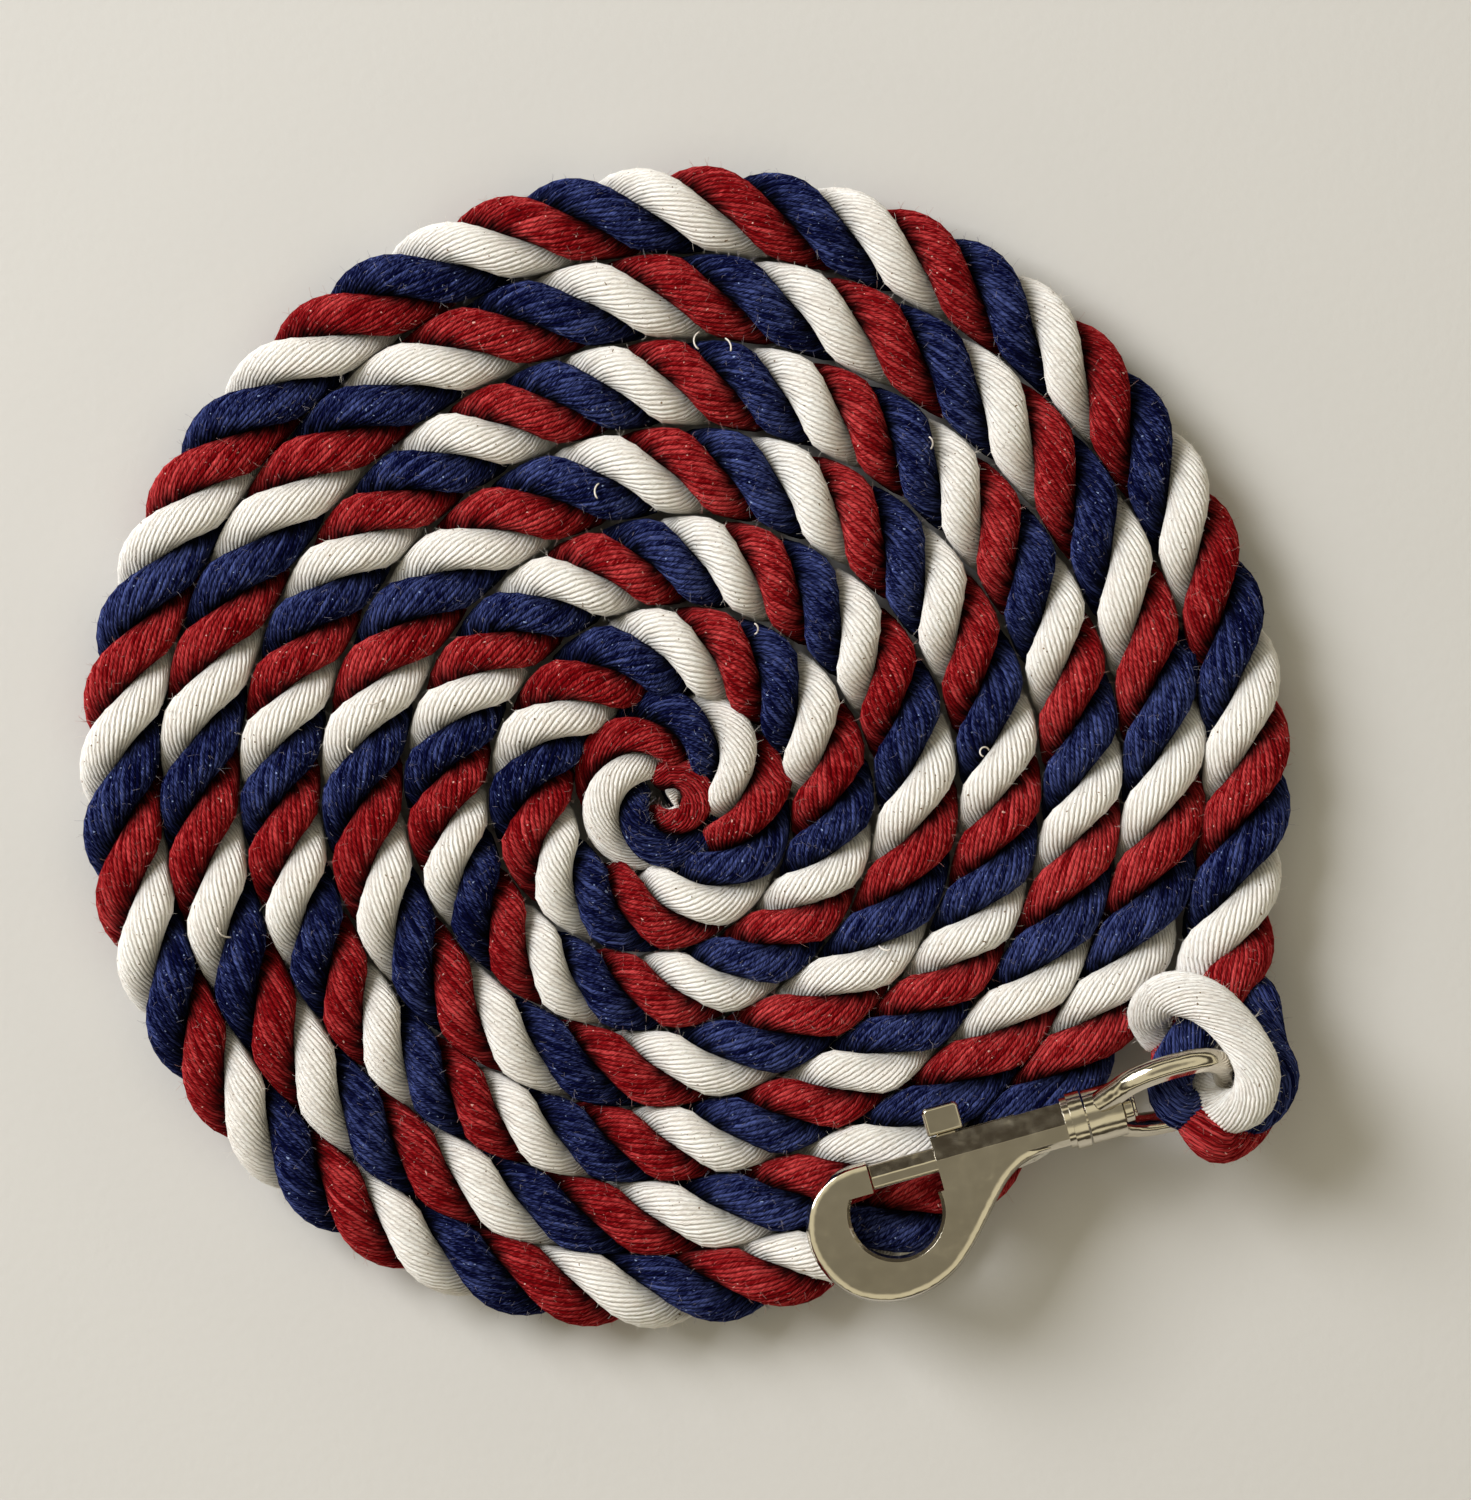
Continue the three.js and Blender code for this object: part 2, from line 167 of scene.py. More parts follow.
def rope_line():
    """Points of the rope's middle line, with how far along, the angle and the slimness of each."""
    angles = np.arange(SPIRAL_START, SPIRAL_END, SPIRAL_STEP)
    outer, inner = turn_edge(angles), turn_edge(angles + 2 * math.pi)
    nested = smooth(angles, *NESTED)
    spiral = level((outer - FREE_HALF) * (1 - nested) + (outer + inner) / 2 * nested, angles)
    run = spline([*RUN, *spiral[: 3 * JOIN_SKIP : JOIN_SKIP]], TRACE_STEP)
    cut = np.argmin(np.linalg.norm(run - spiral[0], axis=1))

    # the last turn, round its own middle
    start = spiral[-1, :2] - HEART
    share = np.linspace(0, 1, HEART_POINTS)[1:]
    turn = share * HEART_TURN
    close = (np.linalg.norm(start) - HEART_RADIUS) * (1 - share) ** HEART_CLOSING
    heart = level(HEART_RADIUS + close, math.atan2(start[1], start[0]) + turn, HEART)

    line = np.vstack([run[:cut], spiral, heart])
    angle = np.concatenate([np.full(cut, BEFORE_COIL), angles, SPIRAL_END + turn])
    slim = np.concatenate([np.ones(cut + len(angles)),
                           1 - (1 - HEART_SLIM) * smooth(share, HEART_SLIM_FROM, 1)])
    where = along(line)
    fine_from = where[-1] - FINE_LENGTH
    at = np.concatenate([np.arange(0, fine_from, RING_STEP),
                         np.arange(fine_from + FINE_STEP, where[-1], FINE_STEP)])
    even = np.stack([np.interp(at, where, line[:, k]) for k in range(3)], axis=1)
    return at, even, np.interp(at, where, angle), np.interp(at, where, slim)


AT, LINE, ANGLE, SLIM = rope_line()
ALONG = tangents(LINE)
OUTWARD = unit(np.cross(ALONG, [0, 0, 1.0]))
UPWARD = np.cross(OUTWARD, ALONG)

# ---- how the turns press on each other ----------------------------------------------------

FREE = 30.0  # more room than the rope can fill, where nothing lies beside it
LEAVES = math.radians(372)  # where the outer turn stops lying outside the next one
LEAVES_OVER = 0.1  # radians, as are the two below
HEART_INSIDE = (-2.2, -1.4)  # from the spiral's end, where the turns stop having one inside them
HEART_OUTSIDE = (-0.2, 0.6)  # and where the last turn stops being held from outside
TOUCH = 0.35  # how far neighbouring turns sink into each other's soft sides
PRESS_FROM = 0.78  # of the room, from which the rope's side starts to flatten
SIDE = 9.6  # the room that a turn fills without spreading
WIDEST = 1.12  # the most that a turn spreads to fill its room
NEIGHBOUR = (20.0, 13.0)  # room with no neighbour in it, and with one close by
FLOOR_SAG = 1.09  # how much deeper the rope's lower half sags
FLOOR_ROOM = 11.45  # below the rope's middle, before it flattens on the floor
SNAP_REST = (66.0, -80.0)  # where the snap lies on the coil
SNAP_BELOW = 18.8  # the height that the snap presses the rope's tops towards
SNAP_PRESS = 0.6  # of what stands higher than that
SNAP_NARROW = 1.6  # the pressed place is longer in x than in y by this
SNAP_REACH = (46.0, 30.0)


def side_room():
    """The room that each point of the rope has outside it and inside it, as the coil sees it."""
    polar = np.arctan2(LINE[:, 1], LINE[:, 0])
    angle = np.where(ANGLE < SPIRAL_START, polar, ANGLE)
    radius = np.hypot(LINE[:, 0], LINE[:, 1])
    outside = (turn_edge(angle) - radius
               + FREE * (1 - smooth(angle, LEAVES - LEAVES_OVER, LEAVES + LEAVES_OVER)))
    inside = (radius - turn_edge(angle + 2 * math.pi)
              + FREE * smooth(angle, SPIRAL_END + HEART_INSIDE[0], SPIRAL_END + HEART_INSIDE[1]))
    outside += FREE * smooth(angle, SPIRAL_END + HEART_OUTSIDE[0], SPIRAL_END + HEART_OUTSIDE[1])
    return outside[:, None], inside[:, None]


ROOM_OUTSIDE, ROOM_INSIDE = side_room()


def spread(room):
    """How much wider the rope lies for the room on one side of it."""
    return 1 + (np.clip(room / SIDE, 1, WIDEST) - 1) * smooth(room, *NEIGHBOUR)


def pressed(u, room):
    """Pushes what would pass a neighbour back in front of it, softly."""
    room = room + TOUCH
    start = PRESS_FROM * room
    over = np.maximum(u - start, 0) / (room - start)
    return np.where(u > start, start + (room - start) * (1 - np.exp(-over)), u)


def press_sides(rope):
    """Presses a strand's rings between the neighbouring turns. Returns how far out each lies."""
    u = ((rope - LINE[:, None]) * OUTWARD[:, None]).sum(2)
    v = np.where(u > 0, pressed(u * spread(ROOM_OUTSIDE), ROOM_OUTSIDE),
                 -pressed(-u * spread(ROOM_INSIDE), ROOM_INSIDE))
    rope += (v - u)[..., None] * OUTWARD[:, None]
    return v


def press_on_floor(rings):
    depth = ROPE_HEIGHT - rings[..., 2]
    rings[..., 2] = ROPE_HEIGHT - pressed(np.maximum(depth, FLOOR_SAG * depth), FLOOR_ROOM)


def press_under_snap(rope):
    """The snap's weight has settled into the turns under it."""
    away = np.hypot(rope[..., 0] - SNAP_REST[0], (rope[..., 1] - SNAP_REST[1]) * SNAP_NARROW)
    high = np.maximum(rope[..., 2] - SNAP_BELOW, 0)
    rope[..., 2] -= SNAP_PRESS * high * smooth(away, *SNAP_REACH)


# ---- strands ------------------------------------------------------------------------------

STRAND_ORBIT = 5.98  # from the rope's middle to a strand's middle
STRAND_DEEP = 4.87  # half a strand's section, in from the rope's surface
STRAND_WIDE = 6.0  # and along it, where the section cuts the strand at a slant
FREE_STRAND = 5.1  # half a strand that has left the rope
FREE_STEP = 2.2
JOIN_RINGS = 8  # over which a strand takes on the shape that it has in the rope
SWELL = (0.008, (23, 37, 61))  # how much thicker it gets, in waves of these lengths
SWELL_SEED = 10
LAYS = [(1500, 48.0), (2200, 40.5), (2520, 44.3), (3050, 36.6), (9999, 46.0)]  # up to mm, mm a turn
RED_ON_TOP = 53.0  # mm along the rope

YARNS = 30
YARN_POINTS = 3  # for each yarn, round the section
SIDES = YARN_POINTS * YARNS
YARN_RELIEF = 0.34
YARN_GROOVE = -0.62  # of the relief
YARN_CREST = 0.38
YARN_BOLD = (0.75, 0.5)  # the least relief of a yarn, and how much more another has
YARN_SEED = 20
YARN_MEANDER = (0.035, (17, 29))
MEANDER_SEED = 200
YARN_TURN = 1.8  # turns the yarns back by this much of each turn of the lay
FREE_YARN_TURN = 50.0  # mm for one turn of the yarns in a strand that has left the rope

CREASE_REACH = (9.7, 7.3)  # from the rope's middle, where painted shade in a crease between strands starts and is darkest
CREASE_NEIGHBOUR = (18.0, 13.0)  # room, as NEIGHBOUR
CREASE_SIDE = (8.2, 10.0)  # out from the rope's middle, where painted shade darkens a crease between turns
CREASE_HEIGHT = (16.5, 11.5)  # over the floor, the same

STRANDS = {
    "red": {
        "slot": "cotton_red",
        "nodes": ["rope_coil", "red_splice_strand"],
        "place": 0,
        "free": [
            (141.0, -62.0, 13.0), (140.6, -71.0, 15.5), (136.8, -77.8, 20.6), (130.8, -80.6, 26.2),
            (127.2, -78.8, 28.4), (124.4, -74.4, 24.8), (120.8, -68.6, 18.4), (120.4, -62.0, 16.6),
            (121.5, -55.5, 15.0),
        ],
    },
    "white": {
        "slot": "cotton_white",
        "nodes": ["white_splice_strand"],
        "place": 1,
        "free": [
            (117.4, -56.6, 14.5), (114.6, -51.4, 20.0), (118.6, -46.8, 27.0), (126.4, -48.4, 31.5),
            (133.6, -55.0, 33.5), (138.0, -63.4, 35.0), (137.0, -70.6, 34.4), (133.2, -73.4, 30.8),
            (129.2, -73.0, 26.4), (126.6, -69.0, 21.8), (126.2, -63.0, 16.8), (127.8, -57.2, 12.8),
        ],
    },
    "blue": {
        "slot": "cotton_blue",
        "nodes": ["rope_run", "blue_splice_strand"],
        "place": 2,
        "free": [
            (126.5, -54.5, 20.5), (122.2, -59.6, 24.5), (118.8, -66.0, 27.6), (119.9, -71.8, 27.8),
            (126.2, -74.4, 24.6), (134.0, -75.6, 24.0), (140.6, -72.2, 25.0), (143.6, -65.8, 24.6),
            (141.2, -59.0, 22.0),
        ],
    },
}


def lay_angle(at):
    """How far the strands have turned round the rope's middle, in radians, at mm along it."""
    turns, start = np.zeros(len(at)), 0.0
    for end, lay in LAYS:
        turns += np.clip(at - start, 0, end - start) / lay
        start = end
    return 2 * math.pi * (turns - RED_ON_TOP / LAYS[0][1])


def waves(seed, at, size, lengths):
    """A gentle irregular wave along the rope, the same each run."""
    rng = np.random.default_rng(seed)
    return size * sum(np.sin(2 * math.pi * (at / length + rng.random())) for length in lengths)


def strand_middle(place, free_points):
    """A strand's middle line, the number of its points before the rope, and its place in the rope."""
    turn = lay_angle(AT) - place * 2 * math.pi / 3
    radial = UPWARD * np.cos(turn)[:, None] + OUTWARD * np.sin(turn)[:, None]
    middle = LINE + STRAND_ORBIT * SLIM[:, None] * radial
    free = spline([*free_points, *middle[:3]], FREE_STEP)
    cut = np.argmin(np.linalg.norm(free - middle[0], axis=1))
    return np.vstack([free[:cut], middle]), cut, turn, radial


def section_axes(centre, n_free, radial, share):
    """The two directions of each section: out from the rope's middle, and round it."""
    own = tangents(centre)
    rope_way = np.vstack([np.repeat(ALONG[:1], n_free, axis=0), ALONG])
    facing = unit(own * (1 - share) + rope_way * share)
    first = np.vstack([np.zeros((n_free, 3)), radial])
    for i in range(n_free - 1, -1, -1):
        first[i] = first[i + 1] - facing[i] * (first[i + 1] @ facing[i])
        first[i] /= np.linalg.norm(first[i])
    first = unit(first - facing * (first * facing).sum(1, keepdims=True))
    return first[:, None], np.cross(facing, first)[:, None]


def section_outline(place, where, n_free, turn, share):
    """Each section's outline along its two directions: an oval with a ridge for each yarn."""
    back = np.zeros(len(where))
    back[n_free:] = -YARN_TURN * (turn - turn[0])
    back[:n_free] = 2 * math.pi * (where[n_free] - where[:n_free]) / FREE_YARN_TURN
    spots = np.arange(SIDES)
    t = 2 * math.pi * spots / SIDES + back[:, None]

    swell = 1 + waves(SWELL_SEED + place, where, *SWELL)
    swell[n_free:] *= SLIM
    deep = (FREE_STRAND * (1 - share) + STRAND_DEEP * share) * swell
    wide = (FREE_STRAND * (1 - share) + STRAND_WIDE * share) * swell
    rng = np.random.default_rng(YARN_SEED + place)
    bold = np.repeat(YARN_BOLD[0] + YARN_BOLD[1] * rng.random(YARNS), YARN_POINTS)
    relief = np.where(spots % YARN_POINTS == 0, YARN_GROOVE, YARN_CREST) * YARN_RELIEF * bold
    meander = [waves(MEANDER_SEED + spot // YARN_POINTS, where, *YARN_MEANDER) for spot in spots]
    meander = np.stack(meander, axis=1)
    x = (deep[:, None] + relief + meander) * np.cos(t)
    y = (wide[:, None] + relief + meander) * np.sin(t)
    return x[..., None], y[..., None]


def creases(rope, v, share):
    """How deep each point lies between strands or between turns, from 0 to 1: how much painted shade
    darkens the cotton there.
    """
    out = rope - LINE[:, None]
    out -= (out * ALONG[:, None]).sum(2, keepdims=True) * ALONG[:, None]
    reach = np.linalg.norm(out, axis=2) / SLIM[:, None]
    between_strands = smooth(reach, *CREASE_REACH) * share[:, None]
    beside = smooth(np.where(v > 0, ROOM_OUTSIDE, ROOM_INSIDE), *CREASE_NEIGHBOUR)
    side = smooth(np.abs(v) / SLIM[:, None], *CREASE_SIDE) * smooth(rope[..., 2], *CREASE_HEIGHT)
    return np.maximum(between_strands, side * beside)


def strand_rings(spec):
    """The points of a strand's rings, its middle line, how far along each is, and the creases."""
    centre, n_free, turn, radial = strand_middle(spec["place"], spec["free"])
    where = along(centre)
    share = smooth(np.arange(len(centre)), n_free - 2, n_free + JOIN_RINGS)
    first, second = section_axes(centre, n_free, radial, share[:, None])
    x, y = section_outline(spec["place"], where, n_free, turn, share)
    rings = centre[:, None] + x * first + y * second
    rope = rings[n_free:]
    v = press_sides(rope)
    press_on_floor(rings)
    press_under_snap(rope)
    crease = np.zeros(rings.shape[:2])
    crease[n_free:] = creases(rope, v, share[n_free:])
    return rings, centre, where, crease


END_RINGS = (0.35, 0.7, 1.05)  # angles round the bulge of a strand's end
END_REACH = 0.55  # of the strand's half width
STRAND_ROUND = 34.3 * MM  # once round a strand, as its weave is mapped


def rounded_end(ring, neighbour):
    """The rings and the tip of a strand's rounded end."""
    centre = ring.mean(0)
    away = unit(centre - neighbour.mean(0))
    reach = END_REACH * np.linalg.norm(ring - centre, axis=1).mean()
    bulge = [centre + (ring - centre) * math.cos(a) + away * reach * math.sin(a) for a in END_RINGS]
    return bulge, centre + away * reach


def tube_mesh(name, rings, where, crease):
    """A closed tube through the rings, with rounded ends and a UV map in metres of its surface."""
    sides = rings.shape[1]
    head, head_tip = rounded_end(rings[0], rings[1])
    tail, tail_tip = rounded_end(rings[-1], rings[-2])
    stack = np.concatenate([np.array(head[::-1]), rings, np.array(tail)])
    total = len(stack)
    verts = np.vstack([stack.reshape(-1, 3), head_tip, tail_tip]) * MM

    i, j = np.meshgrid(np.arange(total - 1), np.arange(sides), indexing="ij")
    k = (j + 1) % sides
    quads = np.stack([i * sides + j, i * sides + k, (i + 1) * sides + k, (i + 1) * sides + j], axis=-1)
    quads = quads.reshape(-1, 4)
    j, k = np.arange(sides), (np.arange(sides) + 1) % sides
    base = (total - 1) * sides
    head_fan = np.stack([np.full(sides, total * sides), k, j], axis=1)
    tail_fan = np.stack([np.full(sides, total * sides + 1), base + j, base + k], axis=1)
    mesh = bpy.data.meshes.new(name)
    mesh.from_pydata(verts, [], [*quads.tolist(), *head_fan.tolist(), *tail_fan.tolist()])
    mesh.polygons.foreach_set("use_smooth", np.ones(len(mesh.polygons), bool))

    # the weave's map: u is round the strand and v along it
    spots = np.concatenate([where[0] - np.array([3, 2, 1.0]), where, where[-1] + np.array([1, 2, 3.0])])
    i, j = np.divmod(np.arange(len(quads)), sides)
    u0, u1 = j / sides * STRAND_ROUND, (j + 1) / sides * STRAND_ROUND
    v0, v1 = spots[i] * MM, spots[i + 1] * MM
    corner = np.stack([np.stack([u0, v0], 1), np.stack([u1, v0], 1),
                       np.stack([u1, v1], 1), np.stack([u0, v1], 1)], axis=1)
    fans = np.zeros((2 * sides, 3, 2))
    uv = mesh.uv_layers.new(name="weave")
    uv.data.foreach_set("uv", np.concatenate([corner.ravel(), fans.ravel()]).astype(np.float32))

    # how deep in a crease each point lies, which the cotton darkens as painted shade
    values = np.concatenate([np.repeat(crease[:1], 3, 0), crease, np.repeat(crease[-1:], 3, 0)])
    attribute = mesh.attributes.new("crease", "FLOAT", "POINT")
    attribute.data.foreach_set("value", np.concatenate([values.ravel(), [0, 0]]).astype(np.float32))
    return mesh


# ---- materials ----------------------------------------------------------------------------


class Nodes:
    """Short ways to build a material's nodes."""

    def __init__(self, name):
        self.material = bpy.data.materials.new(name)
        self.material.use_nodes = True
        self.tree = self.material.node_tree
        self.shader = self.tree.nodes["Principled BSDF"]

    def link(self, value, socket):
        if isinstance(value, bpy.types.NodeSocket):
            self.tree.links.new(value, socket)
        else:
            socket.default_value = value

    def set(self, **inputs):
        """Gives the shader's own inputs a value or a link."""
        for key, value in inputs.items():
            self.link(value, self.shader.inputs[key.replace("_", " ")])

    def node(self, kind, output, settings=None, **inputs):
        """Adds a node. Inputs go by name, or as i0, i1 and so on by number."""
        made = self.tree.nodes.new(kind)
        for key, value in (settings or {}).items():
            setattr(made, key, value)
        for key, value in inputs.items():
            spot = int(key[1:]) if key[0] == "i" and key[1:].isdigit() else key.replace("_", " ")
            self.link(value, made.inputs[spot])
        return made.outputs[output]

    def position(self):
        return self.node("ShaderNodeNewGeometry", "Position")

    def math(self, operation, a, b=0.0, c=0.0):
        return self.node("ShaderNodeMath", 0, {"operation": operation}, i0=a, i1=b, i2=c)

    def joined(self, x, y, z):
        return self.node("ShaderNodeCombineXYZ", 0, X=x, Y=y, Z=z)

    def noise(self, vector, scale, detail=2.0):
        return self.node("ShaderNodeTexNoise", 0, Vector=vector, Scale=scale, Detail=detail)

    def away(self, value, size, onto):
        """Adds a noise's distance from its middle value, times a size."""
        return self.math("MULTIPLY_ADD", self.math("SUBTRACT", value, 0.5), size, onto)

    def remap(self, value, low, high, to_low=0.0, to_high=1.0):
        """Turns low to high into to_low to to_high, and stops there."""
        return self.node("ShaderNodeMapRange", 0, i0=value, i1=low, i2=high, i3=to_low, i4=to_high)

    def mix(self, share, a, b, blend="MIX"):
        made = self.tree.nodes.new("ShaderNodeMix")
        made.data_type = "RGBA"
        made.blend_type = blend
        for spot, value in ((0, share), (6, a), (7, b)):
            self.link(value, made.inputs[spot])
        return made.outputs[2]

    def bump(self, height, distance, strength=1.0):
        return self.node("ShaderNodeBump", 0, Height=height, Distance=distance, Strength=strength)


def srgb(r, g, b):
    """A colour given as 0 to 255."""
    def linear(c):
        c /= 255
        return c / 12.92 if c <= 0.04045 else ((c + 0.055) / 1.055) ** 2.4

    return (linear(r), linear(g), linear(b), 1.0)


def cotton(name, base, deep, light, speck, crease_shade, seed):
    """Yarns laid side by side, each of fine fibres, with a few coloured specks and painted shade in the
    creases and in the grooves between yarns.
    """
    m = Nodes(name)
    uv = m.node("ShaderNodeUVMap", 0, {"uv_map": "weave"})
    split = m.node("ShaderNodeSeparateXYZ", 0, i0=uv).node
    u, v = split.outputs[0], split.outputs[1]
    place = m.position()

    # which yarn a point is on, and how far it is from the yarn's edge
    across = m.away(m.noise(place, 700.0), 0.45, m.math("DIVIDE", u, STRAND_ROUND / YARNS))
    yarn = m.math("FLOOR", across)
    in_yarn = m.math("FRACT", m.math("ADD", across, 0.5))
    edge = m.math("ABSOLUTE", m.math("SUBTRACT", in_yarn, 0.5))

    # each yarn has its own shade, with slubs and fibres that slant a little across it
    own = m.noise(m.joined(m.math("MULTIPLY", yarn, 7.31), m.math("MULTIPLY", v, 70.0), seed), 1.0)
    slant = m.math("MULTIPLY_ADD", v, 0.35, u)
    fibre = m.noise(m.joined(m.math("MULTIPLY", slant, 6500.0), m.math("MULTIPLY", v, 520.0),
                             m.math("MULTIPLY_ADD", yarn, 3.7, seed)), 1.0, 4.0)
    tone = m.away(own, 1.3, 0.5)
    tone = m.away(fibre, 2.0, tone)
    tone = m.away(m.noise(place, 14.0), 0.5, tone)

    colour = m.mix(m.remap(tone, 0.42, 0.9), base, light)
    colour = m.mix(m.remap(tone, 0.5, -0.15), colour, deep)
    # painted shade in the grooves between yarns, towards each yarn's edge
    colour = m.mix(m.remap(edge, 0.03, 0.2, 0.75, 0.0), colour, deep)
    colour = m.mix(m.remap(m.noise(place, 1300.0, 0.0), 0.815, 0.83), colour, speck)
    # painted shade: the creases between strands and between turns are darkened, down to a given share
    # of the colour
    crease = m.node("ShaderNodeAttribute", 2, {"attribute_name": "crease"})
    colour = m.mix(1.0, colour, m.remap(crease, 0.0, 1.0, 1.0, crease_shade), "MULTIPLY")
    ridge = m.math("MULTIPLY_ADD", m.remap(edge, 0.0, 0.3), 0.9, fibre)
    m.set(Base_Color=colour, Roughness=0.95, Sheen_Weight=0.03, Sheen_Roughness=0.5, Sheen_Tint=light,
          Specular_IOR_Level=0.05, Normal=m.bump(ridge, 0.45 * MM))
    return m.material


def loose_cotton(name, colour):
    """Single fibres and thin threads."""
    m = Nodes(name)
    worn = m.mix(m.noise(m.position(), 500.0), colour, srgb(196, 186, 178))
    m.set(Base_Color=worn, Roughness=0.95, Specular_IOR_Level=0.1)
    return m.material


def nickel():
    """Polished nickel plate over a slightly uneven casting."""
    m = Nodes("nickel")
    place = m.position()
    m.set(Base_Color=m.mix(m.noise(place, 60.0, 3.0), srgb(196, 187, 168), srgb(222, 215, 200)),
          Metallic=1.0, Roughness=m.remap(m.noise(place, 260.0, 4.0), 0.3, 0.7, 0.08, 0.18),
          Normal=m.bump(m.noise(place, 170.0), 0.6 * MM, 0.4))
    return m.material


def paper():
    """The pale floor."""
    m = Nodes("paper")
    place = m.position()
    m.set(Base_Color=m.mix(m.noise(place, 3.0, 3.0), srgb(191, 189, 187), srgb(198, 195, 193)),
          Roughness=0.8, Normal=m.bump(m.noise(place, 400.0, 4.0), 0.3 * MM, 0.25))
    return m.material


# each cotton's last but one number is the share of its colour that the painted shade leaves in the
# deepest creases
COTTON = {
    "red": cotton("red_cotton", srgb(130, 3, 11), srgb(60, 0, 3), srgb(212, 76, 78),
                  srgb(222, 170, 160), 0.05, 1.0),
    "white": cotton("white_cotton", srgb(252, 247, 242), srgb(220, 211, 203), srgb(255, 254, 252),
                    srgb(128, 104, 78), 0.6, 11.0),
    "blue": cotton("blue_cotton", srgb(1, 4, 50), srgb(0, 1, 20), srgb(78, 90, 150),
                   srgb(140, 156, 196), 0.05, 21.0),
}


def new_object(name, mesh, material):
    mesh.materials.append(material)
    made = bpy.data.objects.new(name, mesh)
    bpy.context.scene.collection.objects.link(made)
    return made


strand_shapes = {}
for colour, spec in STRANDS.items():
    rings, centre, where, crease = strand_rings(spec)
    strand = new_object(f"{colour}_strand", tube_mesh(f"{colour}_strand", rings, where, crease),
                        COTTON[colour])
    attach(strand, "rope")
    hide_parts(*spec["nodes"])
    strand_shapes[colour] = (rings, centre, crease)

# ---- fuzz and loose threads ---------------------------------------------------------------

HAIRS = 3600  # on each strand
HAIR_RADIUS = 0.028  # mm
HAIR_LENGTH = (0.7, 2.1)
HAIR_STEPS = np.linspace(-0.15, 1, 4)  # of its length, from just under the strand's surface
HAIR_OUT = 0.7
HAIR_LEAN = 0.75
HAIR_SEED = 40
HAIR_CREASE = 0.25  # no hair shows deeper in a crease than this
HAIR_LOWEST = 5.0  # the lowest root over the floor
HAIR_FLOOR = 0.4  # the lowest that a hair reaches
HAIR_COLOURS = {"red": srgb(158, 30, 36), "white": srgb(246, 241, 234), "blue": srgb(40, 52, 112)}
THREAD_RADIUS = 0.2
THREAD_Z = (20.4, 22.9)  # where a loose thread comes out and how high it stands
THREAD_ARCH = 0.62  # of half a wave, from where it comes out to its end
THREAD_POINTS = 10

# Loose ends of white yarn as x, y, heading in degrees, length and bend in degrees.
LOOSE_THREADS = [
    (10.5, 106.0, 200, 5.0, 120), (16.5, 104.5, 330, 3.5, -70), (-12.8, 71.0, 215, 4.0, 90),
    (-62.0, 22.0, 250, 5.0, -80), (-70.5, 12.0, 225, 4.0, 110), (23.3, 36.1, 20, 3.0, 130),
    (77.4, 9.3, 100, 4.5, 230), (52.0, -36.0, 300, 3.0, 80), (-98.0, -34.0, 190, 4.0, -90),
    (64.0, 79.0, 45, 3.0, 100),
]


def thin_tubes(name, lines, radius, material, sides=3):
    """One mesh of closed thin tubes along lines that all have the same number of points."""
    lines = np.asarray(lines, float)
    count, n = lines.shape[:2]
    way = unit(np.gradient(lines, axis=1))
    side = unit(np.cross(way, [0.31, 0.53, 0.79]))  # a direction that no tube keeps to
    other = np.cross(way, side)
    turn = 2 * math.pi * np.arange(sides) / sides
    circle = side[:, :, None] * np.cos(turn)[:, None] + other[:, :, None] * np.sin(turn)[:, None]
    verts = (lines[:, :, None] + radius * circle).reshape(-1, 3) * MM
    faces = []
    for base in range(0, count * n * sides, n * sides):
        for ring in range(base, base + (n - 1) * sides, sides):
            for k in range(sides):
                after = (k + 1) % sides
                faces.append((ring + k, ring + after, ring + sides + after, ring + sides + k))
        faces.append(tuple(range(base + sides - 1, base - 1, -1)))
        faces.append(tuple(range(base + (n - 1) * sides, base + n * sides)))
    mesh = bpy.data.meshes.new(name)
    mesh.from_pydata(verts, [], faces)
    mesh.polygons.foreach_set("use_smooth", np.ones(len(mesh.polygons), bool))
    return new_object(name, mesh, material)


def hairs(rings, centre, crease, seed):
    """Short bent fibres that stand out of a strand."""
    rng = np.random.default_rng(seed)
    ring = rng.integers(2, len(rings) - 2, 4 * HAIRS)
    spot = rng.integers(0, SIDES, 4 * HAIRS)
    keep = (crease[ring, spot] < HAIR_CREASE) & (rings[ring, spot, 2] > HAIR_LOWEST)
    ring, spot = ring[keep][:HAIRS], spot[keep][:HAIRS]
    root = rings[ring, spot]
    out = unit(root - centre[ring])
    lean = unit(rng.normal(size=root.shape))
    length = rng.uniform(*HAIR_LENGTH, len(root))[:, None]
    lines = [root + length * (out * HAIR_OUT * t + lean * HAIR_LEAN * t * abs(t)) for t in HAIR_STEPS]
    lines = np.stack(lines, axis=1)
    lines[..., 2] = np.maximum(lines[..., 2], HAIR_FLOOR)
    return lines


def loose_thread(x, y, heading, length, bend):
    share = np.linspace(0, 1, THREAD_POINTS)
    angle = math.radians(heading) + math.radians(bend) * share
    step = length / (THREAD_POINTS - 1)
    xs = x + np.concatenate([[0], np.cumsum(np.cos(angle[1:]) * step)])
    ys = y + np.concatenate([[0], np.cumsum(np.sin(angle[1:]) * step)])
    zs = THREAD_Z[0] + (THREAD_Z[1] - THREAD_Z[0]) * np.sin(share * math.pi * THREAD_ARCH)
    return np.stack([xs, ys, zs], axis=1)


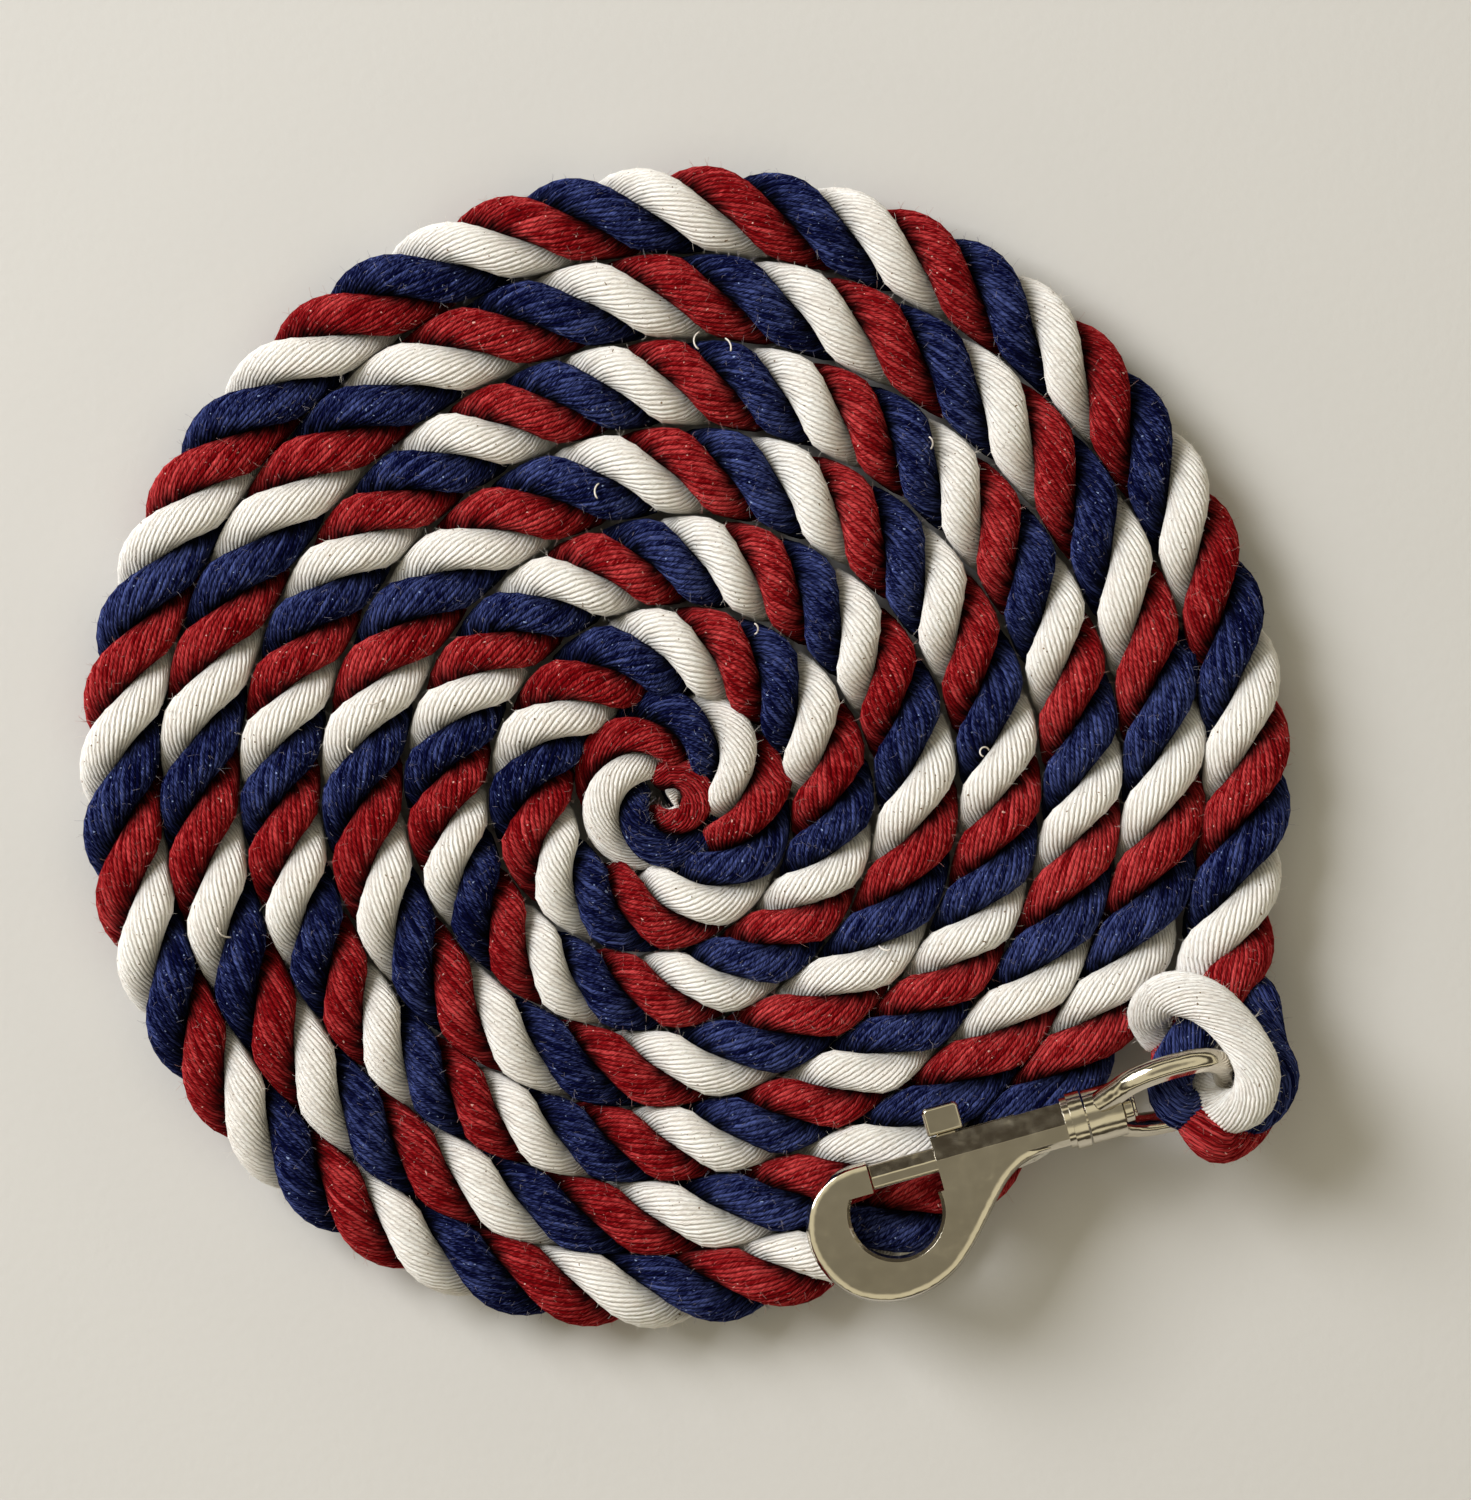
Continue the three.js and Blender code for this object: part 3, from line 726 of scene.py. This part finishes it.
for number, (colour, spec) in enumerate(STRANDS.items()):
    fuzz = thin_tubes(f"{colour}_fuzz", hairs(*strand_shapes[colour], HAIR_SEED + number), HAIR_RADIUS,
                      loose_cotton(f"{colour}_fibre", HAIR_COLOURS[colour]))
    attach(fuzz, "rope")
threads = thin_tubes("loose_threads", [loose_thread(*thread) for thread in LOOSE_THREADS],
                     THREAD_RADIUS, loose_cotton("thread_cotton", srgb(240, 234, 226)), sides=8)
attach(threads, "rope")

# ---- snap ---------------------------------------------------------------------------------

CRISP = 27.0  # degrees between faces, from which the snap and its bolt show an edge
ROUNDED = 50.0  # the same for the turned and bent pieces
CRISP_NODES = ("snap_body", "snap_bolt")
FLAT = 1.0  # degrees between faces that are one flat face
EDGE_WIDTH = 0.3 * MM

# The spring inside the barrel, which the bolt squeezes against the rivet's peened end.
SNAP_ORIGIN = np.array([99.3, -75.3, 26.7])  # mm, as are the spring's sizes
SNAP_AXIS = np.array([0.96293, 0.26976, 0.0])
SNAP_SIDE = np.array([-0.26976, 0.96293, 0.0])
SPRING_ENDS = (-26.3, -8.3)
SPRING_RADIUS = 1.9
SPRING_WIRE = 0.4
SPRING_TURNS = 5
SPRING_STEPS = 24  # a turn


def shading_group():
    """Geometry nodes that weld a mesh and shade it smooth."""
    group = bpy.data.node_groups.new("weld_and_smooth", "GeometryNodeTree")
    group.interface.new_socket("Geometry", in_out="INPUT", socket_type="NodeSocketGeometry")
    group.interface.new_socket("Geometry", in_out="OUTPUT", socket_type="NodeSocketGeometry")
    source = group.nodes.new("NodeGroupInput")
    weld = group.nodes.new("GeometryNodeMergeByDistance")
    weld.inputs["Distance"].default_value = 1e-6
    shade = group.nodes.new("GeometryNodeSetShadeSmooth")
    result = group.nodes.new("NodeGroupOutput")
    group.links.new(source.outputs[0], weld.inputs[0])
    group.links.new(weld.outputs[0], shade.inputs[0])
    group.links.new(shade.outputs[0], result.inputs[0])
    return group


def polish(node, edge_angle):
    """Gives a CAD piece the nickel, smooth shading and small rounded edges."""
    for slot in node.material_slots:
        slot.link = "OBJECT"
        slot.material = NICKEL
    node.modifiers.new("shading", "NODES").node_group = SMOOTH
    flat = node.modifiers.new("flat_faces", "DECIMATE")
    flat.decimate_type = "DISSOLVE"
    flat.angle_limit = math.radians(FLAT)
    edges = node.modifiers.new("edges", "BEVEL")
    edges.width = EDGE_WIDTH
    edges.segments = 2
    edges.limit_method = "ANGLE"
    edges.angle_limit = math.radians(edge_angle)
    edges.harden_normals = True
    node.modifiers.new("normals", "WEIGHTED_NORMAL")


def spring_line():
    share = np.linspace(0, 1, SPRING_STEPS * SPRING_TURNS + 1)
    turn = 2 * math.pi * SPRING_TURNS * share[:, None]
    out = SPRING_ENDS[0] + (SPRING_ENDS[1] - SPRING_ENDS[0]) * share[:, None]
    return (SNAP_ORIGIN + out * SNAP_AXIS + SPRING_RADIUS * np.cos(turn) * SNAP_SIDE
            + SPRING_RADIUS * np.sin(turn) * np.array([0, 0, 1.0]))


NICKEL = nickel()
SMOOTH = shading_group()
for name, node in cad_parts.items():
    if not node.hide_render:
        polish(node, CRISP if name in CRISP_NODES else ROUNDED)

spring = thin_tubes("spring_wire", [spring_line()], SPRING_WIRE, NICKEL, sides=10)
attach(spring, "snap")
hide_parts("bolt_spring")
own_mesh(spring)

# ---- floor and light ----------------------------------------------------------------------

FLOOR_HALF = 4.0
WINDOW_PLACE = (-1.9, 1.24, 1.9)
WINDOW_TARGET = (0.02, 0, 0)
WINDOW_SIZE = 1.5
WINDOW_POWER = 108.0
WINDOW_COLOUR = (0.965, 0.98, 1.0)
WALL = (0.56, 0.54, 0.49, 1.0)
SKY_STRENGTH = 1.12

# The room's pale and dark bands by height, 0 at the horizon and 1 overhead, which show in the metal.
SKY = [
    (0.0, (0.05, 0.04, 0.03)), (0.28, (0.08, 0.07, 0.05)), (0.34, (0.8, 0.74, 0.55)),
    (0.44, (0.8, 0.74, 0.55)), (0.5, (0.05, 0.04, 0.03)), (0.66, (0.07, 0.06, 0.045)),
    (0.74, (0.78, 0.73, 0.55)), (0.93, (0.72, 0.67, 0.5)), (0.985, (0.24, 0.22, 0.17)),
]


def pale_floor():
    a = FLOOR_HALF
    mesh = bpy.data.meshes.new("floor")
    mesh.from_pydata([(-a, -a, 0), (a, -a, 0), (a, a, 0), (-a, a, 0)], [], [(0, 1, 2, 3)])
    new_object("floor", mesh, paper())


def window_light():
    data = bpy.data.lights.new("window", "AREA")
    data.shape = "RECTANGLE"
    data.size = WINDOW_SIZE
    data.size_y = WINDOW_SIZE
    data.energy = WINDOW_POWER
    data.color = WINDOW_COLOUR
    light = bpy.data.objects.new("window", data)
    light.location = WINDOW_PLACE
    way = Vector(WINDOW_TARGET) - Vector(WINDOW_PLACE)
    light.rotation_euler = way.to_track_quat("-Z", "Y").to_euler()
    bpy.context.scene.collection.objects.link(light)


def room_light():
    """The room's light, and the plain wall that the view shows in its place."""
    world = bpy.data.worlds.new("room")
    world.use_nodes = True
    tree = world.node_tree
    direction = tree.nodes.new("ShaderNodeTexCoord").outputs["Generated"]
    split = tree.nodes.new("ShaderNodeSeparateXYZ")
    bands = tree.nodes.new("ShaderNodeValToRGB")
    seen = tree.nodes.new("ShaderNodeLightPath").outputs["Is Camera Ray"]
    wall = tree.nodes.new("ShaderNodeMix")
    wall.data_type = "RGBA"
    wall.inputs[7].default_value = WALL
    background = tree.nodes["Background"]
    background.inputs["Strength"].default_value = SKY_STRENGTH
    tree.links.new(direction, split.inputs[0])
    tree.links.new(split.outputs[2], bands.inputs[0])
    tree.links.new(seen, wall.inputs[0])
    tree.links.new(bands.outputs[0], wall.inputs[6])
    tree.links.new(wall.outputs[2], background.inputs["Color"])
    stops = bands.color_ramp.elements
    for spot, (height, shade) in enumerate(SKY):
        stop = stops[spot] if spot < 2 else stops.new(height)  # a new ramp has two stops
        stop.position = height
        stop.color = (*shade, 1)
    return world


pale_floor()
window_light()
bpy.context.scene.world = room_light()
bpy.context.scene.view_settings.view_transform = "Standard"
